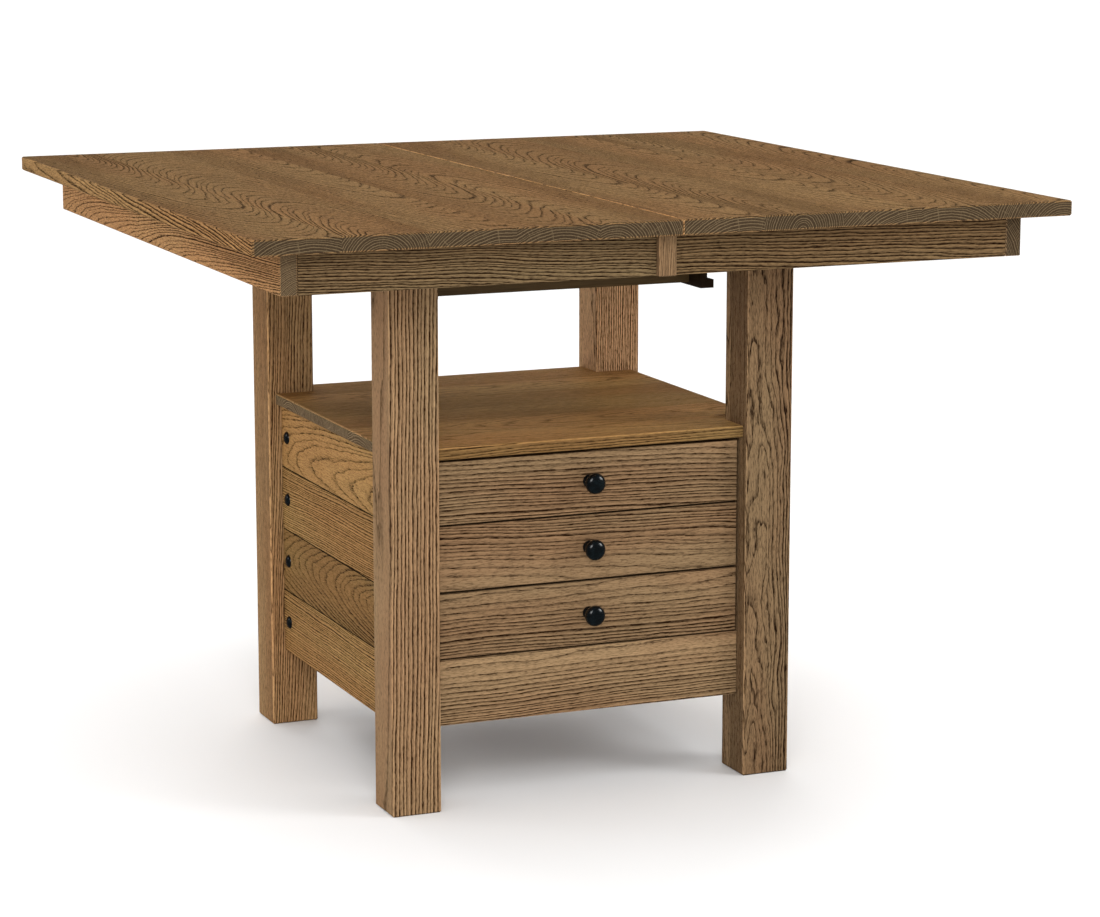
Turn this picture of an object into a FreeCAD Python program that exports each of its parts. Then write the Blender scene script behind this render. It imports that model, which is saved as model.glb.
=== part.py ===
import FreeCAD, Part
import math
import os

# Counter-height kitchen table: a square split top on a four-leg cabinet base with three drawers.
# Millimetres. X runs along the front, Y to the back, Z up. The origin is on the floor, mid base.

# Top
TABLE_HEIGHT = 914.4
TOP_LENGTH = 1260.0
TOP_DEPTH = 1258.0
TOP_THICKNESS = 22.4
SPLIT_GAP = 0.6
TOP_CORNER_EASE = 3.0
TOP_EDGE_EASE = 2.0
SPLIT_EASE = 1.2
PIN_RADIUS = 5.0
PIN_REACH = 24.0
PIN_CLEARANCE = 0.3
PIN_DEPTH_SHARES = (-0.38, 0.0, 0.38)

# Aprons under each half of the top
END_APRON_SETBACK = 55.0
SIDE_APRON_SETBACK = 53.0
APRON_THICKNESS = 25.0
APRON_HEIGHT = 62.5
APRON_EASE = 1.2
BLOCK_LEG = 62.0
BLOCK_HEIGHT = 44.0
COVER_INNER_REACH = 18.0
COVER_OUTER_REACH = 9.0
COVER_THICKNESS = 12.0
COVER_EASE = 1.5
COVER_CLEARANCE = 0.3

# Legs and the rails that tie their tops
BASE_LENGTH = 657.2
BASE_DEPTH = 650.0
LEG_WIDTH = 77.4
LEG_EASE = 2.2
TOP_RAIL_HEIGHT = 52.0
SIDE_RAIL_THICKNESS = 25.0
CROSS_RAIL_THICKNESS = 35.0
CROSS_RAIL_INSET = 34.0
RAIL_EASE = 1.0

# Extension slides: fixed beds on the base, runners under the halves, rack and pinion between
TRAVEL = 152.5
RUNNER_THICKNESS = 25.0
RUNNER_HEIGHT = 50.0
RUNNER_REACH = 200.0
RUNNER_END_GAP = 30.0
RUNNER_LIFT = 2.0
RUNNER_RELIEF = 1.0
SLIDE_CLEARANCE = 0.3
BED_THICKNESS = 25.0
BED_INSET = 39.6
BED_TOP_GAP = 4.0
BED_DROP = 24.5
GROOVE_DEPTH = 7.0
GROOVE_MOUTH = 10.0
GROOVE_FLARE = 2.0
GROOVE_RISE = 10.0
PINION_TEETH = 14
PRESSURE_ANGLE = math.radians(20)
DEDENDUM_SHARE = 1.25
GEAR_BACKLASH = 0.4
PINION_HEIGHT = 14.0
PINION_DROP = 9.0
PINION_CLEARANCE = 1.0
RACK_THICKNESS = 6.0
RACK_SPARE = 16.0
AXLE_RADIUS = 4.0
AXLE_CLEARANCE = 0.05
AXLE_SEAT = 5.0

# L-section tie bars under the slide beds
TIE_INSET = 70.4
TIE_STEM = 11.0
TIE_FOOT_WIDTH = 22.0
TIE_FOOT_HEIGHT = 13.0
TIE_HEIGHT = 29.0
TIE_OVERHANG = 42.0

# Cabinet: four equal courses, three of them drawers at the front
BODY_BOTTOM = 126.0
COURSE_HEIGHT = 102.1
COURSES = 4
DRAWERS = 3
PLANK_INSET = 21.9
PLANK_THICKNESS = 20.0
PLANK_EASE = 1.0
POST_WIDTH = 45.0
SHELF_THICKNESS = 17.9
SHELF_INSET = 12.7
SHELF_EASE = 1.5
FLOOR_RAISE = 10.0
FLOOR_THICKNESS = 12.0
STUD_FROM_LEG = 28.0
STUD_HEAD_SIDES = 10
STUD_HEAD_RADIUS = 10.5
STUD_HEAD_HEIGHT = 5.6
STUD_HEAD_BEVEL = 3.4
STUD_SHANK_WIDTH = 4.0
STUD_LENGTH = 15.0
STUD_CLEARANCE = 0.2

# Drawers and their telescopic slides
FRONT_INSET = 25.8
FRONT_THICKNESS = 20.0
FRONT_EASE = 1.2
DRAWER_GAP = 3.0
SHELF_GAP = 5.0
DRAWER_SIDE_GAP = 2.5
BOX_BACK_GAP = 82.3
BOX_LIFT = 10.0
BOX_HEADROOM = 14.1
BOX_WALL = 12.0
BOTTOM_THICKNESS = 6.0
BOTTOM_RISE = 9.0
BOTTOM_GROOVE = 5.0
BOTTOM_CLEARANCE = 0.2
TAILS = 3
TAIL_ROOT_SHARE = 0.5
TAIL_END_SHARE = 0.7
SLIDE_TAIL = 16.0
SLIDE_FRONT_GAP = 4.0
SLIDE_WIDTH = 12.7
SLIDE_HEIGHT = 45.0
SLIDE_GAUGE = 1.4
SLIDE_PLAY = 0.6
KNOB_PROJECTION = 33.0
KNOB_FOOT_RADIUS = 10.0
KNOB_FOOT_HEIGHT = 3.0
KNOB_NECK_RADIUS = 6.5
KNOB_HEAD_RADIUS = 16.0
KNOB_HEAD_HEIGHT = 12.0

# Working values for every cut and edge search
OVERRUN = 5.0
TOLERANCE = 0.01
HALF_TURN = 180
QUARTER_TURN = 90

# Places that several pieces share
TOP_UNDERSIDE = TABLE_HEIGHT - TOP_THICKNESS
HALF_LENGTH = TOP_LENGTH / 2
HALF_DEPTH = TOP_DEPTH / 2
SPLIT_FACE = SPLIT_GAP / 2
APRON_BOTTOM = TOP_UNDERSIDE - APRON_HEIGHT
END_APRON_FACE = HALF_LENGTH - END_APRON_SETBACK
END_APRON_BACK = END_APRON_FACE - APRON_THICKNESS
SIDE_APRON_FACE = HALF_DEPTH - SIDE_APRON_SETBACK
SIDE_APRON_BACK = SIDE_APRON_FACE - APRON_THICKNESS
LEG_OUT_X = BASE_LENGTH / 2
LEG_OUT_Y = BASE_DEPTH / 2
LEG_IN_X = LEG_OUT_X - LEG_WIDTH
LEG_IN_Y = LEG_OUT_Y - LEG_WIDTH
RUNNER_BOTTOM = TOP_UNDERSIDE - RUNNER_HEIGHT
LEG_TOP = RUNNER_BOTTOM - RUNNER_LIFT
RAIL_BOTTOM = LEG_TOP - TOP_RAIL_HEIGHT
SIDE_RAIL_OUT = LEG_OUT_X - (LEG_WIDTH - SIDE_RAIL_THICKNESS) / 2
SIDE_RAIL_IN = SIDE_RAIL_OUT - SIDE_RAIL_THICKNESS
TIE_INNER_FACE = SIDE_RAIL_IN - TIE_INSET
BED_OUT = LEG_IN_Y - BED_INSET
BED_MIDDLE = BED_OUT - BED_THICKNESS / 2
BED_IN = BED_OUT - BED_THICKNESS
BED_TOP = TOP_UNDERSIDE - BED_TOP_GAP
GROOVE_MIDDLE = RUNNER_BOTTOM + GROOVE_RISE
GEAR_MODULE = (BED_THICKNESS / 2 + SLIDE_CLEARANCE) / (PINION_TEETH / 2 - 1)
PITCH_RADIUS = GEAR_MODULE * PINION_TEETH / 2
TOOTH_PITCH = math.pi * GEAR_MODULE
ADDENDUM = GEAR_MODULE
DEDENDUM = DEDENDUM_SHARE * GEAR_MODULE
PINION_TOP = TOP_UNDERSIDE - PINION_DROP
PINION_BOTTOM = PINION_TOP - PINION_HEIGHT
BODY_TOP = BODY_BOTTOM + COURSES * COURSE_HEIGHT
PLANK_OUT_X = LEG_OUT_X - PLANK_INSET
PLANK_IN_X = PLANK_OUT_X - PLANK_THICKNESS
PLANK_OUT_Y = LEG_OUT_Y - PLANK_INSET
PLANK_IN_Y = PLANK_OUT_Y - PLANK_THICKNESS
FRONT_FACE = LEG_OUT_Y - FRONT_INSET
FRONT_BACK = FRONT_FACE - FRONT_THICKNESS
BOX_SIDE = LEG_IN_X - SLIDE_WIDTH
BOX_DEPTH = FRONT_BACK + PLANK_IN_Y - BOX_BACK_GAP
BOX_HEIGHT = COURSE_HEIGHT - DRAWER_GAP - BOX_LIFT - BOX_HEADROOM
SLIDE_LENGTH = BOX_DEPTH + SLIDE_TAIL

ORIGIN = FreeCAD.Vector(0, 0, 0)
X_AXIS = FreeCAD.Vector(1, 0, 0)
Y_AXIS = FreeCAD.Vector(0, 1, 0)
Z_AXIS = FreeCAD.Vector(0, 0, 1)


def block(x_from, x_to, y_from, y_to, z_from, z_to):
    corner = FreeCAD.Vector(x_from, y_from, z_from)
    return Part.makeBox(x_to - x_from, y_to - y_from, z_to - z_from, corner)


def board(x_from, x_to, y_from, y_to, z_from, z_to, ease):
    """A sawn board with every edge eased."""
    plain = block(x_from, x_to, y_from, y_to, z_from, z_to)
    return plain.makeChamfer(ease, plain.Edges)


def prism(points, direction):
    outline = Part.makePolygon(points + points[:1])
    return Part.Face(outline).extrude(direction)


def turned(shape):
    """A copy turned half round the table's middle."""
    copy = shape.copy()
    copy.rotate(ORIGIN, Z_AXIS, HALF_TURN)
    return copy


def mirrored(shape, normal):
    return shape.mirror(ORIGIN, normal)


def upright_edges(shape):
    found = []
    for edge in shape.Edges:
        rise = edge.BoundBox.ZLength
        if rise > TOLERANCE and edge.BoundBox.XLength < TOLERANCE and edge.BoundBox.YLength < TOLERANCE:
            found.append(edge)
    return found


def edges_at_height(shape, height):
    found = []
    for edge in shape.Edges:
        box = edge.BoundBox
        if abs(box.ZMin - height) < TOLERANCE and abs(box.ZMax - height) < TOLERANCE:
            found.append(edge)
    return found


# The split top: two glued-up halves, located on each other by dowels
def pin_places():
    return [share * TOP_DEPTH for share in PIN_DEPTH_SHARES]


def pin_rod(radius, start, length, place):
    base = FreeCAD.Vector(start, place, TABLE_HEIGHT - TOP_THICKNESS / 2)
    return Part.makeCylinder(radius, length, base, X_AXIS)


def plain_half():
    """The left half before its dowel holes, eased all round and more finely along the split."""
    slab = block(-HALF_LENGTH, -SPLIT_FACE, -HALF_DEPTH, HALF_DEPTH, TOP_UNDERSIDE, TABLE_HEIGHT)
    corners = [edge for edge in upright_edges(slab) if edge.BoundBox.XMax < -SPLIT_FACE - TOLERANCE]
    slab = slab.makeChamfer(TOP_CORNER_EASE, corners)
    seam = [
        edge for edge in upright_edges(slab) + edges_at_height(slab, TABLE_HEIGHT)
        if edge.BoundBox.XMin > -SPLIT_GAP]
    slab = slab.makeChamfer(SPLIT_EASE, seam)
    rim = []
    for height in (TOP_UNDERSIDE, TABLE_HEIGHT):
        level = edges_at_height(slab, height)
        rim += [edge for edge in level if edge.BoundBox.XMin < -SPLIT_GAP - SPLIT_EASE - TOLERANCE]
    return slab.makeChamfer(TOP_EDGE_EASE, rim)


def top_half(bored):
    """The left half, or its twin turned half round, with dowel holes of the given radius."""
    slab = plain_half()
    for place in pin_places():
        slab = slab.cut(pin_rod(bored, -SPLIT_FACE - PIN_REACH, PIN_REACH + OVERRUN, place))
    return slab


def alignment_pins():
    length = 2 * PIN_REACH + SPLIT_GAP - PIN_CLEARANCE
    return [pin_rod(PIN_RADIUS, -SPLIT_FACE - PIN_REACH, length, place) for place in pin_places()]


# Aprons: the end board runs the full depth, the side boards butt between it and the split
def end_apron():
    return board(
        -END_APRON_FACE, -END_APRON_BACK,
        -SIDE_APRON_FACE, SIDE_APRON_FACE,
        APRON_BOTTOM, TOP_UNDERSIDE, APRON_EASE)


def front_apron():
    return board(
        -END_APRON_BACK, -SPLIT_FACE,
        -SIDE_APRON_FACE, -SIDE_APRON_BACK,
        APRON_BOTTOM, TOP_UNDERSIDE, APRON_EASE)


def corner_blocks():
    """Triangular glue blocks in the two corners of one half."""
    base = TOP_UNDERSIDE - BLOCK_HEIGHT
    points = [
        FreeCAD.Vector(-END_APRON_BACK, -SIDE_APRON_BACK, base),
        FreeCAD.Vector(-END_APRON_BACK + BLOCK_LEG, -SIDE_APRON_BACK, base),
        FreeCAD.Vector(-END_APRON_BACK, -SIDE_APRON_BACK + BLOCK_LEG, base),
    ]
    front = prism(points, FreeCAD.Vector(0, 0, BLOCK_HEIGHT))
    return [front, mirrored(front, Y_AXIS)]


def cover_batten():
    """The upright batten on the left front apron that laps over the split."""
    batten = board(
        -COVER_INNER_REACH, COVER_OUTER_REACH,
        -SIDE_APRON_FACE - COVER_THICKNESS, -SIDE_APRON_FACE,
        APRON_BOTTOM, TOP_UNDERSIDE, COVER_EASE)
    relief = block(
        -SPLIT_FACE, COVER_OUTER_REACH + OVERRUN,
        -SIDE_APRON_FACE - COVER_CLEARANCE, -SIDE_APRON_FACE + OVERRUN,
        APRON_BOTTOM - OVERRUN, TOP_UNDERSIDE + OVERRUN)
    return batten.cut(relief)


# Extension slides
def dovetail(x_from, x_to, root_y, end_y, half_mouth, half_end):
    """A dovetail bar along X, from root_y at its neck to end_y at its wide side."""
    points = [
        FreeCAD.Vector(x_from, root_y, GROOVE_MIDDLE - half_mouth),
        FreeCAD.Vector(x_from, end_y, GROOVE_MIDDLE - half_end),
        FreeCAD.Vector(x_from, end_y, GROOVE_MIDDLE + half_end),
        FreeCAD.Vector(x_from, root_y, GROOVE_MIDDLE + half_mouth),
    ]
    return prism(points, FreeCAD.Vector(x_to - x_from, 0, 0))


def slide_bed():
    """The front fixed bed: notched over the side rails, dropped between the tie bars, grooved both sides."""
    hung = block(-TIE_INNER_FACE, TIE_INNER_FACE, -BED_OUT, -BED_IN, RAIL_BOTTOM - BED_DROP, RAIL_BOTTOM)
    middle = block(-SIDE_RAIL_IN, SIDE_RAIL_IN, -BED_OUT, -BED_IN, RAIL_BOTTOM, LEG_TOP)
    upper = block(-SIDE_RAIL_OUT, SIDE_RAIL_OUT, -BED_OUT, -BED_IN, LEG_TOP, BED_TOP)
    bed = hung.fuse([middle, upper]).removeSplitter()
    reach = SIDE_RAIL_OUT + OVERRUN
    half_end = GROOVE_MOUTH / 2 + GROOVE_FLARE
    front = dovetail(-reach, reach, -BED_OUT, -BED_OUT + GROOVE_DEPTH, GROOVE_MOUTH / 2, half_end)
    rear = dovetail(-reach, reach, -BED_IN, -BED_IN - GROOVE_DEPTH, GROOVE_MOUTH / 2, half_end)
    window = PITCH_RADIUS + ADDENDUM + PINION_CLEARANCE
    slot = block(
        -window, window,
        -BED_OUT - OVERRUN, -BED_IN + OVERRUN,
        PINION_BOTTOM - SLIDE_CLEARANCE, PINION_TOP + SLIDE_CLEARANCE)
    return bed.cut([front, rear, slot, axle(AXLE_RADIUS + AXLE_CLEARANCE, BED_TOP + OVERRUN)])


def axle(radius, top):
    """The pin that a pinion turns on, at the middle of the front bed."""
    base = PINION_BOTTOM - AXLE_SEAT
    return Part.makeCylinder(radius, top - base, FreeCAD.Vector(0, -BED_MIDDLE, base))


def runner(face, outward):
    """A left-half runner beside the front bed; outward is -1 in front of the bed and 1 behind it."""
    start = -END_APRON_BACK + RUNNER_END_GAP
    near = face + outward * SLIDE_CLEARANCE
    far = near + outward * RUNNER_THICKNESS
    bar = block(start, RUNNER_REACH, min(near, far), max(near, far), RUNNER_BOTTOM, TOP_UNDERSIDE)
    relief = block(
        -SPLIT_FACE, RUNNER_REACH + OVERRUN,
        min(near, far) - OVERRUN, max(near, far) + OVERRUN,
        TOP_UNDERSIDE - RUNNER_RELIEF, TOP_UNDERSIDE + OVERRUN)
    recess = block(
        rack_start(), rack_end(),
        min(near, near + outward * RACK_THICKNESS), max(near, near + outward * RACK_THICKNESS),
        PINION_BOTTOM, PINION_TOP)
    tip = face - outward * (GROOVE_DEPTH - SLIDE_CLEARANCE)
    half_mouth = GROOVE_MOUTH / 2 - SLIDE_CLEARANCE
    tongue = dovetail(start, RUNNER_REACH, near, tip, half_mouth, half_mouth + GROOVE_FLARE)
    return bar.cut([relief, recess]).fuse(tongue).removeSplitter()


def rack_teeth():
    return math.ceil((TRAVEL + 2 * RACK_SPARE) / TOOTH_PITCH)


def rack_start():
    return -TOOTH_PITCH * (math.floor(RACK_SPARE / TOOTH_PITCH) + 1 / 2)


def rack_end():
    return rack_start() + rack_teeth() * TOOTH_PITCH


def rack(face, outward):
    """A toothed strip let into a left-half runner, its teeth towards the pinion."""
    near = face + outward * SLIDE_CLEARANCE
    back = near + outward * RACK_THICKNESS
    root = near + outward * (ADDENDUM + DEDENDUM)
    slope = math.tan(PRESSURE_ANGLE)
    half_pitch_line = TOOTH_PITCH / 4 - GEAR_BACKLASH / 2
    half_tip = half_pitch_line - ADDENDUM * slope
    half_root = half_pitch_line + DEDENDUM * slope
    points = [FreeCAD.Vector(rack_start(), back, PINION_BOTTOM)]
    points.append(FreeCAD.Vector(rack_start(), root, PINION_BOTTOM))
    for number in range(rack_teeth()):
        middle = rack_start() + (number + 1 / 2) * TOOTH_PITCH
        points.append(FreeCAD.Vector(middle - half_root, root, PINION_BOTTOM))
        points.append(FreeCAD.Vector(middle - half_tip, near, PINION_BOTTOM))
        points.append(FreeCAD.Vector(middle + half_tip, near, PINION_BOTTOM))
        points.append(FreeCAD.Vector(middle + half_root, root, PINION_BOTTOM))
    points.append(FreeCAD.Vector(rack_end(), root, PINION_BOTTOM))
    points.append(FreeCAD.Vector(rack_end(), back, PINION_BOTTOM))
    return prism(points, FreeCAD.Vector(0, 0, PINION_HEIGHT))


def involute(angle):
    return math.tan(angle) - angle


def pinion():
    """The front pinion, an involute spur gear with a tooth gap towards each rack."""
    base_radius = PITCH_RADIUS * math.cos(PRESSURE_ANGLE)
    root_radius = PITCH_RADIUS - DEDENDUM
    tip_radius = PITCH_RADIUS + ADDENDUM
    pitch_half = (TOOTH_PITCH / 2 - GEAR_BACKLASH) / 2 / PITCH_RADIUS
    flank = []
    for radius in (base_radius, PITCH_RADIUS, tip_radius):
        angle = math.acos(min(1, base_radius / radius))
        flank.append((radius, pitch_half + involute(PRESSURE_ANGLE) - involute(angle)))
    side = [(root_radius, flank[0][1])] + flank
    points = []
    for tooth in range(PINION_TEETH):
        middle = math.pi / 2 + 2 * math.pi * (tooth + 1 / 2) / PINION_TEETH
        rising = [(radius, middle - half) for radius, half in side]
        falling = [(radius, middle + half) for radius, half in reversed(side)]
        for radius, angle in rising + falling:
            x = radius * math.cos(angle)
            y = radius * math.sin(angle) - BED_MIDDLE
            points.append(FreeCAD.Vector(x, y, PINION_BOTTOM))
    gear = prism(points, FreeCAD.Vector(0, 0, PINION_HEIGHT))
    return gear.cut(axle(AXLE_RADIUS + AXLE_CLEARANCE, PINION_TOP + OVERRUN))


def tie_bar():
    """The right tie bar, an L section whose front end runs on past the bed."""
    bottom = RAIL_BOTTOM - TIE_HEIGHT
    front = -BED_OUT - TIE_OVERHANG
    points = [
        FreeCAD.Vector(TIE_INNER_FACE, front, bottom),
        FreeCAD.Vector(TIE_INNER_FACE + TIE_FOOT_WIDTH, front, bottom),
        FreeCAD.Vector(TIE_INNER_FACE + TIE_FOOT_WIDTH, front, bottom + TIE_FOOT_HEIGHT),
        FreeCAD.Vector(TIE_INNER_FACE + TIE_STEM, front, bottom + TIE_FOOT_HEIGHT),
        FreeCAD.Vector(TIE_INNER_FACE + TIE_STEM, front, RAIL_BOTTOM),
        FreeCAD.Vector(TIE_INNER_FACE, front, RAIL_BOTTOM),
    ]
    return prism(points, FreeCAD.Vector(0, BED_OUT - front, 0))


# Legs and top rails
def leg():
    """The front left leg, a plain square post."""
    return board(-LEG_OUT_X, -LEG_IN_X, -LEG_OUT_Y, -LEG_IN_Y, 0, LEG_TOP, LEG_EASE)


def cross_rail():
    """The front top rail, between the front legs."""
    face = LEG_OUT_Y - CROSS_RAIL_INSET
    return board(-LEG_IN_X, LEG_IN_X, -face, CROSS_RAIL_THICKNESS - face, RAIL_BOTTOM, LEG_TOP, RAIL_EASE)


def side_rail():
    """The left top rail, between the left legs."""
    return board(-SIDE_RAIL_OUT, -SIDE_RAIL_IN, -LEG_IN_Y, LEG_IN_Y, RAIL_BOTTOM, LEG_TOP, RAIL_EASE)


# Cabinet
def course_bottom(number):
    return BODY_BOTTOM + number * COURSE_HEIGHT


def stud_shank(width):
    """The square shank of a stud, driven down from the origin."""
    return block(-width / 2, width / 2, -width / 2, width / 2, -STUD_LENGTH, 0)


def stud():
    """A stud along +Z with its seat at the origin: a bevelled many-sided head on a square shank."""
    rim = []
    for side in range(STUD_HEAD_SIDES):
        turn = 2 * math.pi * side / STUD_HEAD_SIDES
        rim.append(FreeCAD.Vector(STUD_HEAD_RADIUS * math.cos(turn), STUD_HEAD_RADIUS * math.sin(turn), 0))
    head = prism(rim, FreeCAD.Vector(0, 0, STUD_HEAD_HEIGHT))
    head = head.makeChamfer(STUD_HEAD_BEVEL, edges_at_height(head, STUD_HEAD_HEIGHT))
    return head.fuse(stud_shank(STUD_SHANK_WIDTH))


def left_wall(shape):
    """Copies of a stud or of its hole, two to each left plank, driven in from outside."""
    copies = []
    for number in range(COURSES):
        for place in (STUD_FROM_LEG - LEG_IN_Y, LEG_IN_Y - STUD_FROM_LEG):
            copy = shape.copy()
            copy.rotate(ORIGIN, Y_AXIS, -QUARTER_TURN)
            copy.translate(FreeCAD.Vector(-PLANK_OUT_X, place, course_bottom(number) + COURSE_HEIGHT / 2))
            copies.append(copy)
    return copies


def planks(x_from, x_to, y_from, y_to):
    """One wall of the cabinet: a plank for each course."""
    wall = []
    for number in range(COURSES):
        base = course_bottom(number)
        wall.append(board(x_from, x_to, y_from, y_to, base, base + COURSE_HEIGHT, PLANK_EASE))
    return wall


def left_planks():
    holes = left_wall(stud_shank(STUD_SHANK_WIDTH + 2 * STUD_CLEARANCE))
    return [plank.cut(holes) for plank in planks(-PLANK_OUT_X, -PLANK_IN_X, -LEG_IN_Y, LEG_IN_Y)]


def corner_posts():
    """Upright posts inside the cabinet's corners that the planks are fixed to."""
    side_post = block(LEG_IN_X, PLANK_IN_X, LEG_IN_Y - POST_WIDTH, LEG_IN_Y, BODY_BOTTOM, BODY_TOP)
    back_post = block(LEG_IN_X - POST_WIDTH, LEG_IN_X, LEG_IN_Y, PLANK_IN_Y, BODY_BOTTOM, BODY_TOP)
    rear_right = [side_post, back_post]
    rear_left = [mirrored(post, X_AXIS) for post in rear_right]
    front = [mirrored(side_post, Y_AXIS), turned(side_post)]
    return rear_right + rear_left + front


def shelf():
    """The cabinet's top board, notched round the four legs."""
    half_x = LEG_OUT_X - SHELF_INSET
    half_y = LEG_OUT_Y - SHELF_INSET
    plate = block(-half_x, half_x, -half_y, half_y, BODY_TOP, BODY_TOP + SHELF_THICKNESS)
    notch = block(
        LEG_IN_X, half_x + OVERRUN, LEG_IN_Y, half_y + OVERRUN,
        BODY_TOP - OVERRUN, BODY_TOP + SHELF_THICKNESS + OVERRUN)
    pair = [notch, mirrored(notch, X_AXIS)]
    plate = plate.cut(pair + [mirrored(one, Y_AXIS) for one in pair])
    rim = []
    for edge in edges_at_height(plate, BODY_TOP) + edges_at_height(plate, BODY_TOP + SHELF_THICKNESS):
        middle = edge.CenterOfMass
        if abs(middle.x) > half_x - TOLERANCE or abs(middle.y) > half_y - TOLERANCE:
            rim.append(edge)
    return plate.makeChamfer(SHELF_EASE, rim)


def cabinet_floor():
    """The bottom board, let in between the walls and notched round the corner posts."""
    low = BODY_BOTTOM + FLOOR_RAISE
    high = low + FLOOR_THICKNESS
    middle = block(-LEG_IN_X, LEG_IN_X, -FRONT_BACK, LEG_IN_Y, low, high)
    wide = block(-PLANK_IN_X, PLANK_IN_X, POST_WIDTH - LEG_IN_Y, LEG_IN_Y - POST_WIDTH, low, high)
    rear = block(POST_WIDTH - LEG_IN_X, LEG_IN_X - POST_WIDTH, LEG_IN_Y, PLANK_IN_Y, low, high)
    return middle.fuse([wide, rear]).removeSplitter()


def bottom_rail():
    """The fixed board below the drawers."""
    top = course_bottom(1) - DRAWER_GAP / 2
    return board(-LEG_IN_X, LEG_IN_X, -FRONT_FACE, -FRONT_BACK, BODY_BOTTOM, top, FRONT_EASE)


# Drawers, counted from the top
def drawer_bottom_edge(number):
    return course_bottom(COURSES - number) + DRAWER_GAP / 2


def drawer_middle(number):
    return drawer_bottom_edge(number) + (COURSE_HEIGHT - DRAWER_GAP) / 2


def box_bottom(number):
    return drawer_bottom_edge(number) + BOX_LIFT


def drawer_front(number):
    """A drawer's oak front; the top one keeps a wider gap to the shelf."""
    half = LEG_IN_X - DRAWER_SIDE_GAP
    gap = SHELF_GAP if number == 1 else DRAWER_GAP / 2
    high = course_bottom(COURSES - number + 1) - gap
    return board(-half, half, -FRONT_FACE, -FRONT_BACK, drawer_bottom_edge(number), high, FRONT_EASE)


def tails(number, root, end):
    """Dovetails on the right side board, spread up its height, from root to end along Y."""
    step = BOX_HEIGHT / TAILS
    cut = []
    for tail in range(TAILS):
        middle = box_bottom(number) + (tail + 1 / 2) * step
        half_root = TAIL_ROOT_SHARE * step / 2
        half_end = TAIL_END_SHARE * step / 2
        points = [
            FreeCAD.Vector(BOX_SIDE - BOX_WALL, root, middle - half_root),
            FreeCAD.Vector(BOX_SIDE - BOX_WALL, end, middle - half_end),
            FreeCAD.Vector(BOX_SIDE - BOX_WALL, end, middle + half_end),
            FreeCAD.Vector(BOX_SIDE - BOX_WALL, root, middle + half_root),
        ]
        cut.append(prism(points, FreeCAD.Vector(BOX_WALL, 0, 0)))
    return cut


def drawer_box(number):
    """Four dovetailed boards: front and back carry the pins, the sides carry the tails."""
    low = box_bottom(number)
    high = low + BOX_HEIGHT
    front = -FRONT_BACK
    back = front + BOX_DEPTH
    front_tails = tails(number, front + BOX_WALL, front)
    back_tails = tails(number, back - BOX_WALL, back)
    right = block(BOX_SIDE - BOX_WALL, BOX_SIDE, front + BOX_WALL, back - BOX_WALL, low, high)
    right = right.fuse(front_tails + back_tails).removeSplitter()
    left = mirrored(right, X_AXIS)
    front_board = block(-BOX_SIDE, BOX_SIDE, front, front + BOX_WALL, low, high).cut([right, left])
    back_board = block(-BOX_SIDE, BOX_SIDE, back - BOX_WALL, back, low, high).cut([right, left])
    groove = bottom_panel(number, 0)
    return [piece.cut(groove) for piece in (front_board, back_board, right, left)]


def bottom_panel(number, clearance):
    """The drawer bottom, held in a groove round the box; clearance shrinks it to slip in."""
    half = BOX_SIDE - BOX_WALL + BOTTOM_GROOVE - clearance
    front = -FRONT_BACK + BOX_WALL - BOTTOM_GROOVE + clearance
    back = -FRONT_BACK + BOX_DEPTH - BOX_WALL + BOTTOM_GROOVE - clearance
    low = box_bottom(number) + BOTTOM_RISE
    return block(-half, half, front, back, low, low + BOTTOM_THICKNESS - clearance)


def knob(number):
    """A turned knob at the middle of a drawer front: a foot, a neck and a broad head."""
    rim_height = KNOB_PROJECTION - KNOB_HEAD_HEIGHT
    stations = [
        FreeCAD.Vector(0, 0, 0),
        FreeCAD.Vector(KNOB_FOOT_RADIUS, 0, 0),
        FreeCAD.Vector(KNOB_FOOT_RADIUS, 0, KNOB_FOOT_HEIGHT),
        FreeCAD.Vector(KNOB_NECK_RADIUS, 0, KNOB_FOOT_HEIGHT),
        FreeCAD.Vector(KNOB_NECK_RADIUS, 0, rim_height),
        FreeCAD.Vector(KNOB_HEAD_RADIUS, 0, rim_height),
        FreeCAD.Vector(KNOB_HEAD_RADIUS, 0, KNOB_PROJECTION),
        FreeCAD.Vector(0, 0, KNOB_PROJECTION),
    ]
    profile = Part.Face(Part.makePolygon(stations + stations[:1]))
    shape = profile.revolve(ORIGIN, Z_AXIS, 2 * HALF_TURN)
    shape.rotate(ORIGIN, X_AXIS, QUARTER_TURN)
    shape.translate(FreeCAD.Vector(0, -FRONT_FACE, drawer_middle(number)))
    return shape


def channel(number, web, lip, height):
    """A C-section slide member along Y: its web's back is at x = web and its lips end at x = lip."""
    inward = 1 if lip > web else -1
    middle = box_bottom(number) + BOX_HEIGHT / 2
    start = SLIDE_FRONT_GAP - FRONT_BACK
    inner = web + inward * SLIDE_GAUGE
    outer_half = height / 2
    inner_half = outer_half - SLIDE_GAUGE
    section = [
        (web, -outer_half), (lip, -outer_half), (lip, -inner_half), (inner, -inner_half),
        (inner, inner_half), (lip, inner_half), (lip, outer_half), (web, outer_half),
    ]
    points = [FreeCAD.Vector(x, start, middle + z) for x, z in section]
    return prism(points, FreeCAD.Vector(0, SLIDE_LENGTH, 0))


def slide_pair(number, web, lip, height):
    right = channel(number, web, lip, height)
    return [right, mirrored(right, X_AXIS)]


def cabinet_slide(number):
    return slide_pair(number, LEG_IN_X, BOX_SIDE + SLIDE_PLAY, SLIDE_HEIGHT)


def middle_slide(number):
    step = SLIDE_GAUGE + SLIDE_PLAY
    return slide_pair(number, LEG_IN_X - step, BOX_SIDE + SLIDE_PLAY, SLIDE_HEIGHT - 2 * step)


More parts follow.
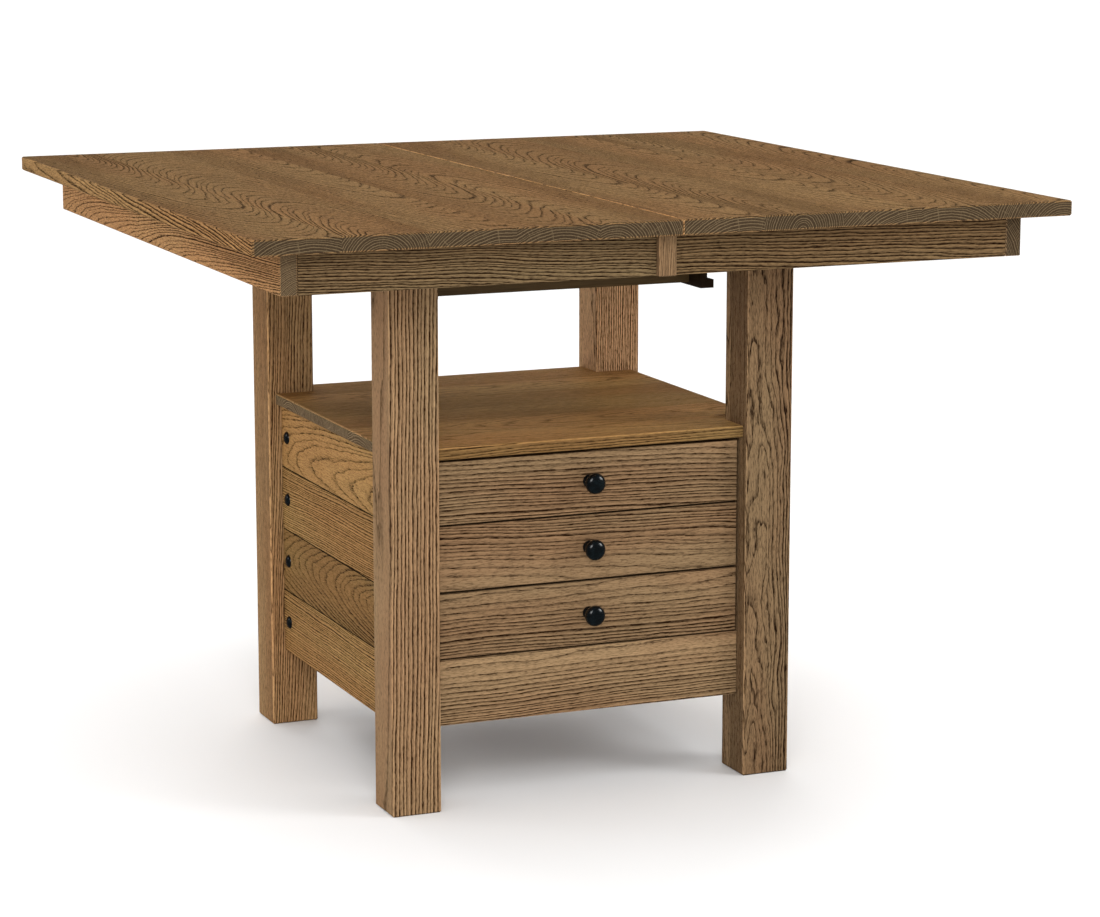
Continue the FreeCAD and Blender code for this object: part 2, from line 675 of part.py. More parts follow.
def drawer_slide(number):
    step = SLIDE_GAUGE + SLIDE_PLAY
    return slide_pair(number, BOX_SIDE, LEG_IN_X - 2 * step, SLIDE_HEIGHT - 4 * step)


# Every node of the assembly, by name
def base_nodes():
    front_left = leg()
    rear_left = mirrored(front_left, Y_AXIS)
    wall = left_planks()
    studs = left_wall(stud())
    bed = slide_bed()
    pin = axle(AXLE_RADIUS, BED_TOP)
    bar = tie_bar()
    slides = [member for number in range(1, DRAWERS + 1) for member in cabinet_slide(number)]
    return {
        "leg_front_left": [front_left],
        "leg_front_right": [mirrored(front_left, X_AXIS)],
        "leg_rear_left": [rear_left],
        "leg_rear_right": [mirrored(rear_left, X_AXIS)],
        "top_rail_front": [cross_rail()],
        "top_rail_rear": [turned(cross_rail())],
        "top_rail_left": [side_rail()],
        "top_rail_right": [turned(side_rail())],
        "slide_bed_front": [bed],
        "slide_bed_rear": [turned(bed)],
        "pinion_axles": [pin, turned(pin)],
        "tie_bars": [bar, turned(bar)],
        "shelf": [shelf()],
        "side_planks_left": wall,
        "side_planks_right": [turned(plank) for plank in wall],
        "back_planks": planks(-LEG_IN_X, LEG_IN_X, PLANK_IN_Y, PLANK_OUT_Y),
        "corner_posts": corner_posts(),
        "plank_studs": studs + [turned(one) for one in studs],
        "bottom_rail": [bottom_rail()],
        "cabinet_floor": [cabinet_floor()],
        "cabinet_slides": slides,
    }


def half_nodes():
    outer = runner(-BED_OUT, -1)
    inner = runner(BED_IN, -1)
    racks = [rack(-BED_OUT, -1), rack(BED_IN, -1)]
    front = front_apron()
    blocks = corner_blocks()
    batten = cover_batten()
    return {
        "top_left": [top_half(PIN_RADIUS)],
        "alignment_pins": alignment_pins(),
        "end_apron_left": [end_apron()],
        "front_apron_left": [front],
        "rear_apron_left": [mirrored(front, Y_AXIS)],
        "corner_blocks_left": blocks,
        "cover_batten_front": [batten],
        "runner_left_front": [outer],
        "runner_left_rear": [inner],
        "gear_racks_left": racks,
        "top_right": [turned(top_half(PIN_RADIUS + PIN_CLEARANCE))],
        "end_apron_right": [turned(end_apron())],
        "front_apron_right": [mirrored(front, X_AXIS)],
        "rear_apron_right": [turned(front)],
        "corner_blocks_right": [turned(one) for one in blocks],
        "cover_batten_rear": [turned(batten)],
        "runner_right_rear": [turned(outer)],
        "runner_right_front": [turned(inner)],
        "gear_racks_right": [turned(strip) for strip in racks],
        "pinion_front": [pinion()],
        "pinion_rear": [turned(pinion())],
    }


def drawer_nodes(number):
    return {
        f"drawer_front_{number}": [drawer_front(number)],
        f"drawer_box_{number}": drawer_box(number),
        f"drawer_bottom_{number}": [bottom_panel(number, BOTTOM_CLEARANCE)],
        f"drawer_knob_{number}": [knob(number)],
        f"drawer_slides_{number}": drawer_slide(number),
        f"drawer_middle_slides_{number}": middle_slide(number),
    }


nodes = base_nodes()
nodes.update(half_nodes())
for drawer in range(1, DRAWERS + 1):
    nodes.update(drawer_nodes(drawer))

os.makedirs("parts", exist_ok=True)
for name, solids in nodes.items():
    piece = solids[0] if len(solids) == 1 else Part.makeCompound(solids)
    piece.exportStep(f"parts/{name}.step")
print(len(nodes), "nodes")
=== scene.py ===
import bpy
import math
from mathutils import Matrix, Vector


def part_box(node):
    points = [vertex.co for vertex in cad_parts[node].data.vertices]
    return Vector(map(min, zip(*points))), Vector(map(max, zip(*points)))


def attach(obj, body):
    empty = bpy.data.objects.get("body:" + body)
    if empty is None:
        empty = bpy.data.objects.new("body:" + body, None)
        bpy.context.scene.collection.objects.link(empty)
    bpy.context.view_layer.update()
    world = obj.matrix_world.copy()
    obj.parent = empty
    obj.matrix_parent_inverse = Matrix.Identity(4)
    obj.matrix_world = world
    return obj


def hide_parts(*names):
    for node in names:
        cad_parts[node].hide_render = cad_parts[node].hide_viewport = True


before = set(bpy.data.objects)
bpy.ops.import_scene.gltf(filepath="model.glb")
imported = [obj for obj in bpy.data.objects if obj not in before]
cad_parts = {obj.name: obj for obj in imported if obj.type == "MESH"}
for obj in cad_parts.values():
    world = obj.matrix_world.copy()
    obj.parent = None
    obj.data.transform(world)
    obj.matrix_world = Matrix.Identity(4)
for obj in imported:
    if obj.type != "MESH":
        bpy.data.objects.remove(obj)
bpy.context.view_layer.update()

# Legs: four square oak posts that run from the floor up to the rails under the top.
# Each is glued up from sawn oak, its edges eased with a plane, stained brown and sealed satin.
# The stain sits dark in the open pores of the spring wood and leaves the summer wood tan.


def srgb(red, green, blue):
    """A colour given as it looks on paper, 0 to 255, as the shader wants it."""
    return tuple(((part / 255 + 0.055) / 1.055) ** 2.4 for part in (red, green, blue)) + (1.0,)


def node(tree, kind, feeds, **settings):
    """A shader node with its settings, each input given a value or another node's output."""
    made = tree.nodes.new("ShaderNode" + kind)
    for key, value in settings.items():
        setattr(made, key, value)
    for socket, feed in feeds.items():
        if isinstance(feed, bpy.types.NodeSocket):
            tree.links.new(feed, made.inputs[socket])
        else:
            made.inputs[socket].default_value = feed
    return made


def calc(tree, operation, *feeds):
    """One step of arithmetic."""
    return node(tree, "Math", dict(enumerate(feeds)), operation=operation).outputs[0]


def product(tree, first, *others):
    for other in others:
        first = calc(tree, "MULTIPLY", first, other)
    return first


def between(tree, share, first, last):
    """A value that goes straight from first to last as share goes from 0 to 1."""
    return calc(tree, "MULTIPLY_ADD", share, last - first, first)


def pushed(tree, base, noise, reach):
    """A length pushed to and fro by noise, over the given reach."""
    return calc(tree, "MULTIPLY_ADD", calc(tree, "SUBTRACT", noise, 0.5), reach, base)


def ramp(tree, feed, low, high, start=0.0, end=1.0):
    """A soft step from start to end as the feed goes from low to high."""
    return node(tree, "MapRange", {0: feed, 1: low, 2: high, 3: start, 4: end},
                interpolation_type="SMOOTHSTEP").outputs[0]


def tint(tree, share, first, second):
    return node(tree, "Mix", {0: share, 6: first, 7: second}, data_type="RGBA").outputs[2]


def mottle(tree, place, waves, seed, detail=2.0):
    """Noise from 0 to 1 with its own count of waves per metre on each axis of the place."""
    shift = (seed * 3.1, seed * 5.7, seed * 1.9)
    where = node(tree, "VectorMath", {0: place, 1: waves, 2: shift}, operation="MULTIPLY_ADD").outputs[0]
    return node(tree, "TexNoise", {"Vector": where, "Scale": 1.0, "Detail": detail})


def new_finish(name):
    """A material, with its tree, its shader and the coordinates of the piece that wears it."""
    material = bpy.data.materials.new(name)
    material.use_nodes = True
    tree = material.node_tree
    return material, tree, tree.nodes["Principled BSDF"], node(tree, "TexCoord", {}).outputs


def lay_on(tree, shader, colour, roughness, height, strength, distance):
    """Feeds the shader a colour, a roughness and a bump, whose height is distance, in metres."""
    tree.links.new(colour, shader.inputs["Base Color"])
    tree.links.new(roughness, shader.inputs["Roughness"])
    bump = node(tree, "Bump", {"Strength": strength, "Distance": distance, "Height": height})
    tree.links.new(bump.outputs[0], shader.inputs["Normal"])


def plank_cuts(tree, row, cuts):
    """Where the plank of each row was cut from its log: how far the heart lies off the plank's middle
    and off its face, how the heart leans, and the plank's tone."""
    made = node(tree, "ValToRGB", {"Fac": calc(tree, "DIVIDE", calc(tree, "ADD", row, 0.5), len(cuts))})
    made.color_ramp.interpolation = "CONSTANT"
    points = made.color_ramp.elements
    while len(points) < len(cuts):
        points.new(0.5)
    for number, (point, (aside, behind, lean, tone)) in enumerate(zip(points, cuts)):
        point.position = number / len(cuts)
        point.color = (aside + 0.5, behind + 0.5, lean + 0.5, tone / 2)
    parts = node(tree, "SeparateColor", {0: made.outputs["Color"]}).outputs
    aside, behind, lean = [calc(tree, "SUBTRACT", part, 0.5) for part in parts]
    return aside, behind, lean, calc(tree, "MULTIPLY", made.outputs["Alpha"], 2.0)


def log_rings(tree, axes, place, heart, lean, ring, seed, wander, flame, ripple):
    """How far a point lies from the heart of the log, across and through the board and in all,
    and how far through its year the wood there grew, from 0 in spring to 1 in winter."""
    run, wide, thick = axes
    sway_waves, lick_waves, quiver_waves = (1.3, 0.8, 0.8), (6.0, 22.0, 22.0), (35.0, 180.0, 180.0)
    good_year_pace, good_year_growth = 0.31, 1.4
    sway = mottle(tree, place, sway_waves, seed).outputs["Color"]
    sway = node(tree, "SeparateColor", {0: sway}).outputs
    off_wide = calc(tree, "SUBTRACT", wide, heart[0])
    off_wide = calc(tree, "SUBTRACT", off_wide, calc(tree, "MULTIPLY", run, lean[0]))
    off_wide = pushed(tree, off_wide, sway[0], wander * 2)
    off_deep = calc(tree, "SUBTRACT", thick, heart[1])
    off_deep = calc(tree, "SUBTRACT", off_deep, calc(tree, "MULTIPLY", run, lean[1]))
    off_deep = pushed(tree, off_deep, sway[1], wander * 2)
    squares = calc(tree, "MULTIPLY_ADD", off_wide, off_wide, calc(tree, "MULTIPLY", off_deep, off_deep))
    radius = calc(tree, "SQRT", squares)
    licks = mottle(tree, place, lick_waves, seed + 3, 3.0).outputs[0]
    quiver = mottle(tree, place, quiver_waves, seed + 5).outputs[0]
    grown = pushed(tree, pushed(tree, radius, licks, flame * 2), quiver, ripple)
    years = calc(tree, "DIVIDE", grown, ring)
    good_years = node(tree, "TexNoise", {"W": calc(tree, "ADD", years, seed), "Scale": good_year_pace},
                      noise_dimensions="1D").outputs[0]
    years = calc(tree, "MULTIPLY_ADD", good_years, good_year_growth, years)
    return off_wide, off_deep, radius, calc(tree, "FRACT", years)


def soaked_stain(tree, place, season, slant, depth, seed):
    """Stain from 0 to 1, and the pores alone: a dark band in spring, broken into strokes by the vessels.
    A face sawn flat on the rings (slant 0) has softer bands and more specks than one sawn across them."""
    year = [(0.0, 0.1), (0.06, 1.0), (0.24, 0.92), (0.5, 0.35), (0.8, 0.05), (1.0, 0.0)]
    stroke_waves, pore_waves = (50.0, 560.0, 560.0), (120.0, 850.0, 850.0)
    spring = node(tree, "ValToRGB", {"Fac": calc(tree, "DIVIDE", season, between(tree, slant, 0.4, 1.0))})
    points = spring.color_ramp.elements
    while len(points) < len(year):
        points.new(0.5)
    for point, (at, level) in zip(points, year):
        point.position = at
        point.color = (level, level, level, 1.0)
    strokes = ramp(tree, mottle(tree, place, stroke_waves, seed + 7, 3.0).outputs[0], 0.42, 0.6)
    pores = ramp(tree, mottle(tree, place, pore_waves, seed + 9).outputs[0], 0.48, 0.64)
    solid = between(tree, slant, 0.4, 0.65)
    body = calc(tree, "MULTIPLY_ADD", strokes, calc(tree, "SUBTRACT", 1.0, solid), solid)
    stain = calc(tree, "MULTIPLY", spring.outputs["Color"], body)
    stain = calc(tree, "MULTIPLY_ADD", pores, between(tree, slant, 0.56, 0.28), stain)
    soak = between(tree, slant, 0.68 * depth, depth)
    stain = node(tree, "Math", {0: stain, 1: soak}, operation="MULTIPLY", use_clamp=True).outputs[0]
    return stain, pores


def end_grain(tree, off_wide, off_deep, radius, season, seed):
    """The colour of a sawn end: dark spring rings, and pale rays that run out from the heart."""
    sweep = calc(tree, "ARCTAN2", off_deep, off_wide)
    spokes = node(tree, "CombineXYZ", {0: sweep, 1: radius}).outputs[0]
    spoke_waves = (70.0, 25.0, 1.0)
    rays = ramp(tree, mottle(tree, spokes, spoke_waves, seed + 17).outputs[0], 0.6, 0.72, 0.0, 0.4)
    summer = ramp(tree, season, 0.6, 0.95, 0.0, 0.62)
    return tint(tree, calc(tree, "MAXIMUM", summer, rays), srgb(58, 46, 33), srgb(124, 106, 78))


def stained_oak(name, along, across, ring, seed, heart=(0.0, -0.1), lean=(0.0, 0.02), planks=None,
                wander=0.012, flame=0.005, ripple=0.0013, depth=1.1, tone=1.0,
                painted_upper_light=1.0, painted_end_light=1.0, painted_side_light=1.0, flanks=1.0, edge_wear_and_glint=0.22, painted_seam_glint=None,
                pale=srgb(161, 132, 97), rosy=srgb(160, 125, 91), dark=srgb(40, 22, 8)):
    """Oak cut from a log. along and across are the axes of the grain and of the board's width.
    ring is a year's growth in metres, heart the place of the log's heart across and through the board,
    and lean how that drifts over a metre. planks gives a panel's first and last edge and its cut list.
    wander, flame and ripple are the slow, middling and fine waves of the rings, in metres.
    depth is how much stain soaks in, and tone how pale the wood is; on some pieces tone is also
    painted light or shade. upper, ends and sides are painted light: they make the face that looks up,
    the sawn end faces and the faces across the board lighter or darker for the light that falls there.
    flanks changes the tone of the straight grain. Eased edges are made paler by rub, partly as rubbed
    wear and partly as a painted highlight, or darker where rub is below nought, as glaze settling in a
    joint. painted_seam_glint paints a highlight along the split of the top."""
    material, tree, shader, coords = new_finish(name)
    through = "XYZ".replace(along, "").replace(across, "")
    axes = node(tree, "SeparateXYZ", {0: coords["Object"]}).outputs
    facing = node(tree, "SeparateXYZ", {0: coords["Normal"]}).outputs
    run, wide, thick = axes[along], axes[across], axes[through]
    cloud_waves, fibre_waves = (1.8, 9.0, 9.0), (14.0, 620.0, 620.0)
    streak_shift = 3.7
    streak_run = run
    if planks:
        first_edge, last_edge, cuts = planks
        width = (last_edge - first_edge) / len(cuts)
        row = calc(tree, "FLOOR", calc(tree, "DIVIDE", calc(tree, "SUBTRACT", wide, first_edge), width))
        aside, behind, plank_lean, plank_tone = plank_cuts(tree, row, cuts)
        middle = calc(tree, "MULTIPLY_ADD", calc(tree, "ADD", row, 0.5), width, first_edge)
        heart = calc(tree, "ADD", middle, aside), calc(tree, "ADD", behind, heart[1])
        lean = lean[0], plank_lean
        streak_run = calc(tree, "MULTIPLY_ADD", row, streak_shift, run)
    place = node(tree, "CombineXYZ", {0: streak_run, 1: wide, 2: thick}).outputs[0]
    off_wide, off_deep, radius, season = log_rings(tree, (run, wide, thick), place, heart, lean, ring, seed,
                                                   wander, flame, ripple)
    square_on = calc(tree, "MULTIPLY", off_deep, facing[through])
    square_on = calc(tree, "MULTIPLY_ADD", off_wide, facing[across], square_on)
    square_on = calc(tree, "DIVIDE", square_on, radius)
    slant = ramp(tree, calc(tree, "MULTIPLY", square_on, square_on), 0.98, 0.45)
    stain, pores = soaked_stain(tree, place, season, slant, depth, seed)

    cloud = mottle(tree, place, cloud_waves, seed + 13, 3.0).outputs
    blush = node(tree, "SeparateColor", {0: cloud["Color"]}).outputs[1]
    wood = tint(tree, stain, tint(tree, ramp(tree, blush, 0.35, 0.65), pale, rosy), dark)
    cut_across = ramp(tree, calc(tree, "ABSOLUTE", facing[along]), 0.55, 0.85)
    wood = tint(tree, cut_across, wood, end_grain(tree, off_wide, off_deep, radius, season, seed))

    fibre = mottle(tree, place, fibre_waves, seed + 11).outputs[0]
    sideways = calc(tree, "ABSOLUTE", facing[across])
    # Painted light: the face that looks up, the sawn end faces and the faces across the board are made
    # lighter or darker here for the light that falls on them.
    shade = product(tree, between(tree, cloud[0], 0.82 * tone, 1.18 * tone), between(tree, fibre, 0.55, 1.45),
                    ramp(tree, facing["Z"], 0.5, 0.9, 1.0, painted_upper_light), between(tree, cut_across, 1.0, painted_end_light),
                    ramp(tree, sideways, 0.5, 0.9, 1.0, painted_side_light), between(tree, slant, 1.0, flanks))
    if planks:
        shade = calc(tree, "MULTIPLY", shade, plank_tone)
    squarest = calc(tree, "MAXIMUM", calc(tree, "ABSOLUTE", facing[0]), calc(tree, "ABSOLUTE", facing[1]))
    squarest = calc(tree, "MAXIMUM", squarest, calc(tree, "ABSOLUTE", facing[2]))
    # Eased edges are made paler, partly as rubbed wear and partly as a painted highlight, or darker with
    # glaze where the factor is below nought. Along the split of the top they get a painted highlight.
    eased = ramp(tree, squarest, 0.8, 0.95, 1.0, 0.0)
    if painted_seam_glint:
        edge_wear_and_glint = ramp(tree, calc(tree, "ABSOLUTE", wide), 0.0015, 0.0018, painted_seam_glint, edge_wear_and_glint)
    shade = calc(tree, "MULTIPLY", shade, calc(tree, "MULTIPLY_ADD", eased, edge_wear_and_glint, 1.0))
    colour = node(tree, "VectorMath", {0: wood, 3: shade}, operation="SCALE").outputs[0]
    hollow = calc(tree, "SUBTRACT", 1.0, calc(tree, "MAXIMUM", stain, pores))
    lay_on(tree, shader, colour, between(tree, stain, 0.42, 0.6), hollow, strength=0.3, distance=0.0005)
    shader.inputs["Specular IOR Level"].default_value = 0.02
    return material


def finish(material, *names):
    """Puts a material on pieces whose shape comes from the frame."""
    for name in names:
        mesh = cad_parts[name].data
        mesh.materials.clear()
        mesh.materials.append(material)


# The rear right leg is toned much paler and the front right leg's side faces lighter: painted light, for
# light that the top and the other legs keep from them.
leg_cuts = {
    "front_left": dict(ring=0.0058, seed=1.6, heart=(-0.47, -0.27), lean=(0.015, 0.0), flame=0.0042,
                       depth=1.12, tone=0.92),
    "front_right": dict(ring=0.0031, seed=2.0, heart=(0.268, -0.265), lean=(0.0, 0.02), flame=0.0085,
                        ripple=0.0004, depth=1.35, tone=0.5, painted_side_light=1.75),
    "rear_left": dict(ring=0.0030, seed=3.0, heart=(-0.16, 0.40), lean=(0.02, 0.03), flame=0.0035,
                      tone=1.12, pale=srgb(162, 129, 90), rosy=srgb(160, 121, 82)),
    "rear_right": dict(ring=0.0031, seed=4.0, heart=(0.42, 0.30), lean=(0.02, 0.0), depth=1.5, tone=1.75)}
for corner, cut in leg_cuts.items():
    finish(stained_oak(f"leg_oak_{corner}", "Z", "X", **cut), f"leg_{corner}")

# Top rails: oak boards fixed between the legs just under the slides, stained like the legs and toned darker
# with painted shade, for the shadow under the top. The grain runs along each rail.
rail_cut = dict(ring=0.0040, heart=(0.72, 0.05), lean=(0.01, 0.02), tone=0.5)
finish(stained_oak("cross_rail_oak", "X", "Z", seed=5.0, **rail_cut), "top_rail_front", "top_rail_rear")
finish(stained_oak("side_rail_oak", "Y", "Z", seed=6.0, **rail_cut), "top_rail_left", "top_rail_right")

# Slide beds and tie bars: the fixed half of the extension slides, planed from close-grained hardwood.
# Their dark browns, near black on the bars, are stain and painted shade for the deep shadow under the top.
# The beds are screwed over the side rails, the bars tie them below.


def drawn_out(along, lengthwise, crosswise):
    """Waves per metre on X, Y and Z, for a figure drawn out along one of them."""
    return tuple(lengthwise if axis == along else crosswise for axis in "XYZ")


def close_grain(name, along, seed, pale, dark):
    """A close-grained hardwood: soft streaks along the board, no open pores."""
    material, tree, shader, coords = new_finish(name)
    band_waves = drawn_out(along, lengthwise=2.0, crosswise=45.0)
    hair_waves = drawn_out(along, lengthwise=20.0, crosswise=500.0)
    bands = mottle(tree, coords["Object"], band_waves, seed, 4.0).outputs[0]
    hairs = mottle(tree, coords["Object"], hair_waves, seed + 2).outputs[0]
    streaks = calc(tree, "MULTIPLY_ADD", hairs, 0.35, calc(tree, "MULTIPLY", bands, 0.65))
    facing = node(tree, "SeparateXYZ", {0: coords["Normal"]}).outputs
    cut_across = ramp(tree, calc(tree, "ABSOLUTE", facing[along]), 0.75, 0.95, 0.0, 0.3)
    share = calc(tree, "ADD", ramp(tree, streaks, 0.3, 0.7), cut_across)
    colour = tint(tree, share, pale, dark)
    lay_on(tree, shader, colour, between(tree, hairs, 0.36, 0.48), hairs, strength=0.15, distance=0.0003)
    shader.inputs["Specular IOR Level"].default_value = 0.05
    return material


finish(close_grain("slide_bed_wood", "X", 21.0, srgb(86, 68, 43), srgb(58, 45, 27)),
       "slide_bed_front", "slide_bed_rear")
finish(close_grain("tie_bar_wood", "Y", 22.0, srgb(48, 35, 23), srgb(34, 24, 15)), "tie_bars")

# Pinions and axles: moulded nylon gears that turn on steel pins pressed into the slide beds.
# They keep the two halves of the top moving together.


def moulded_nylon(name, pale, dark):
    """Nylon as it comes from the mould: faint flow marks and a fine grit."""
    material, tree, shader, coords = new_finish(name)
    flow_waves, grit_waves = (60.0, 60.0, 60.0), (1500.0, 1500.0, 1500.0)
    flow = mottle(tree, coords["Object"], flow_waves, 31.0, 3.0).outputs[0]
    grit = mottle(tree, coords["Object"], grit_waves, 32.0).outputs[0]
    colour = tint(tree, ramp(tree, flow, 0.3, 0.7), pale, dark)
    lay_on(tree, shader, colour, between(tree, grit, 0.38, 0.53), grit, strength=0.1, distance=0.0002)
    return material


def plated_steel(name, along, lengthwise, crosswise):
    """Zinc-plated steel, with marks of the rolls or the lathe along it and a faint spangle."""
    material, tree, shader, coords = new_finish(name)
    spangle_waves = (90.0, 90.0, 90.0)
    marks = mottle(tree, coords["Object"], drawn_out(along, lengthwise, crosswise), 33.0).outputs[0]
    spangle = mottle(tree, coords["Object"], spangle_waves, 34.0, 1.0).outputs[0]
    colour = tint(tree, ramp(tree, spangle, 0.35, 0.65), srgb(176, 179, 183), srgb(166, 169, 174))
    lay_on(tree, shader, colour, between(tree, marks, 0.24, 0.46), marks, strength=0.08, distance=0.0002)
    shader.inputs["Metallic"].default_value = 0.45
    return material


nylon = moulded_nylon("gear_nylon", srgb(226, 222, 208), srgb(212, 206, 188))
finish(nylon, "pinion_front", "pinion_rear")
finish(plated_steel("axle_steel", "Z", lengthwise=40.0, crosswise=900.0), "pinion_axles")

# Corner posts and floor of the cabinet: hidden framing that the planks and the drawer slides
# are screwed to, and a panel that closes the cabinet below. Both are stained hardwood.
stained_pale, stained_dark = srgb(104, 77, 50), srgb(70, 49, 30)
finish(close_grain("post_wood", "Z", 23.0, stained_pale, stained_dark), "corner_posts")
finish(close_grain("floor_wood", "X", 24.0, stained_pale, stained_dark), "cabinet_floor")

# Side and back planks: four oak boards to a wall, laid edge to edge between the legs and screwed
# to the corner posts. Glaze settles in the small V where two eased edges meet.
golden, amber = srgb(163, 129, 80), srgb(161, 121, 74)
wall_low, wall_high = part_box("side_planks_left")
lowest, course = wall_low.z, (wall_high.z - wall_low.z) / 4
plank_face, back_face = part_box("side_planks_right")[1].x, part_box("back_planks")[1].y
wall_oak = dict(ring=0.0036, wander=0.014, flame=0.004, edge_wear_and_glint=-0.95, pale=golden, rosy=amber)
side_cuts = [(0.16, 0.06, 0.02, 1.15), (0.01, 0.07, 0.10, 0.72), (0.17, 0.05, -0.06, 1.13),
             (-0.02, 0.10, 0.05, 1.10)]
far_cuts = [(aside, -behind, lean, tone) for aside, behind, lean, tone in side_cuts]
back_cuts = [(0.02, -0.08, 0.08, 1.0), (0.15, -0.05, 0.03, 0.96), (-0.03, -0.07, -0.07, 1.02),
             (0.12, -0.09, 0.04, 1.0)]
# The near wall is toned paler and the far wall darker: painted light on the one and painted shade on the
# other, for the way the lamps fall on them.
finish(stained_oak("side_plank_oak", "Y", "Z", seed=7.0, heart=(0.0, -plank_face), tone=1.04,
                   planks=(wall_low.z, wall_high.z, side_cuts), **wall_oak), "side_planks_left")
finish(stained_oak("far_plank_oak", "Y", "Z", seed=8.0, heart=(0.0, plank_face), tone=0.78,
                   planks=(wall_low.z, wall_high.z, far_cuts), **wall_oak), "side_planks_right")
finish(stained_oak("back_plank_oak", "X", "Z", seed=9.0, heart=(0.0, back_face), tone=1.04,
                   planks=(wall_low.z, wall_high.z, back_cuts), **wall_oak), "back_planks")

# Plank studs: black dome-headed nails, two to each side plank, driven in from outside.
# The head is forged round and painted satin black.


def satin_black(name):
    """Black paint with a fine skin, a little thinner where it is handled."""
    material, tree, shader, coords = new_finish(name)
    skin_waves, wear_waves = (900.0, 900.0, 900.0), (120.0, 120.0, 120.0)
    skin = mottle(tree, coords["Object"], skin_waves, 41.0).outputs[0]
    wear = mottle(tree, coords["Object"], wear_waves, 42.0, 3.0).outputs[0]
    colour = tint(tree, ramp(tree, wear, 0.4, 0.7), srgb(3, 8, 10), srgb(8, 16, 19))
    lay_on(tree, shader, colour, between(tree, skin, 0.13, 0.23), skin, strength=0.06, distance=0.0002)
    shader.inputs["Specular IOR Level"].default_value = 0.42
    return material


def turned(name, seat, facing, stations, material):
    """A piece turned on a lathe: a disc on its seat is drawn out and sized through (height, radius) stations.
    facing is the turn that points the axis of the disc outwards."""
    bpy.ops.object.select_all(action="DESELECT")
    bpy.ops.mesh.primitive_circle_add(vertices=40, radius=stations[0][1], fill_type="NGON", location=seat,
                                      rotation=facing)
    made = bpy.context.object
    made.name = name
    outward = made.rotation_euler.to_matrix() @ Vector((0, 0, 1))
    bpy.ops.object.mode_set(mode="EDIT")
    bpy.ops.mesh.select_all(action="SELECT")
    for (low, before), (high, after) in zip(stations, stations[1:]):
        bpy.ops.mesh.extrude_region_move(TRANSFORM_OT_translate={"value": outward * (high - low)})
        bpy.ops.transform.resize(value=(after / before,) * 3)
    bpy.ops.mesh.select_all(action="SELECT")
    bpy.ops.mesh.normals_make_consistent(inside=False)
    bpy.ops.object.mode_set(mode="OBJECT")
    bpy.ops.object.transform_apply(location=True, rotation=True, scale=True)
    bpy.ops.object.shade_smooth_by_angle(angle=math.radians(50))
    made.data.materials.append(material)
    return made


def copied(piece, name, shift=(0, 0, 0), swing=0.0):
    """A copy of a finished piece with its own mesh, shifted, then swung about the middle of the table."""
    bpy.ops.object.select_all(action="DESELECT")
    piece.select_set(True)
    bpy.context.view_layer.objects.active = piece
    bpy.ops.object.duplicate(linked=False)
    made = bpy.context.object
    made.name = name
    bpy.ops.transform.translate(value=shift)
    bpy.ops.transform.rotate(value=swing, orient_axis="Z", center_override=(0, 0, 0))
    bpy.ops.object.transform_apply(location=True, rotation=True, scale=True)
    return made


def joined(name, pieces):
    bpy.ops.object.select_all(action="DESELECT")
    for piece in pieces:
        piece.select_set(True)
    bpy.context.view_layer.objects.active = pieces[0]
    bpy.ops.object.join()
    bpy.context.object.name = name
    return bpy.context.object


black = satin_black("satin_black")
stud_radius, stud_height, dome_steps = 0.0105, 0.0056, 7
dome = []
for step in range(dome_steps):
    slope = step / dome_steps * math.pi / 2
    dome.append((stud_height * math.sin(slope), stud_radius * math.cos(slope)))
stud_from_leg = 0.028
stud_line = wall_high.y - stud_from_leg
first_stud = turned("stud_front", (-plank_face, -stud_line, lowest + course / 2), (0, -math.pi / 2, 0),
                    dome, black)
left_studs = [first_stud]
for plank in range(4):
    for back in (0.0, 2 * stud_line):
        if plank or back:
            left_studs.append(copied(first_stud, "stud", (0, back, course * plank)))
left_heads = joined("left_stud_heads", left_studs)
right_heads = copied(left_heads, "right_stud_heads", swing=math.pi)
stud_heads = joined("plank_stud_heads", [left_heads, right_heads])
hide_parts("plank_studs")
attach(stud_heads, "base")

# Bottom rail and shelf: oak boards that close the cabinet below the drawers and over them.
# The shelf is a glued panel notched round the legs, its grain from side to side.
finish(stained_oak("bottom_rail_oak", "X", "Z", ring=0.0039, seed=10.0, heart=(0.238, -0.22),
                   lean=(0.012, 0.0), wander=0.006, flame=0.003, ripple=0.0008, tone=0.78), "bottom_rail")
shelf_low, shelf_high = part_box("shelf")
shelf_cuts = [(0.03, -0.12, 0.02, 1.0), (0.0, -0.09, 0.06, 0.97), (0.14, -0.05, 0.01, 1.03),
              (-0.13, -0.05, 0.02, 0.98), (0.02, -0.08, -0.05, 1.02), (-0.12, -0.07, 0.02, 1.0)]
# The shelf's upper face is painted much lighter, for the shade that the top casts on it; its sawn ends and
# front edge are painted lighter too.
finish(stained_oak("shelf_oak", "X", "Y", ring=0.0042, seed=11.0, heart=(0.0, shelf_high.z),
                   planks=(shelf_low.y, shelf_high.y, shelf_cuts), depth=0.9, tone=0.5, painted_upper_light=3.2, painted_end_light=4.6,
                   painted_side_light=1.25, edge_wear_and_glint=0.0, pale=golden, rosy=amber), "shelf")

# Drawer slides: telescoping channels rolled from zinc-plated steel, three members to a side.
# The outer ones are screwed to the corner posts, the inner ones to the drawer boxes, and the
# middle ones run between them.
runner_steel = plated_steel("slide_steel", "Y", lengthwise=12.0, crosswise=1800.0)
finish(runner_steel, "cabinet_slides")
for number in (1, 2, 3):
    finish(runner_steel, f"drawer_slides_{number}", f"drawer_middle_slides_{number}")

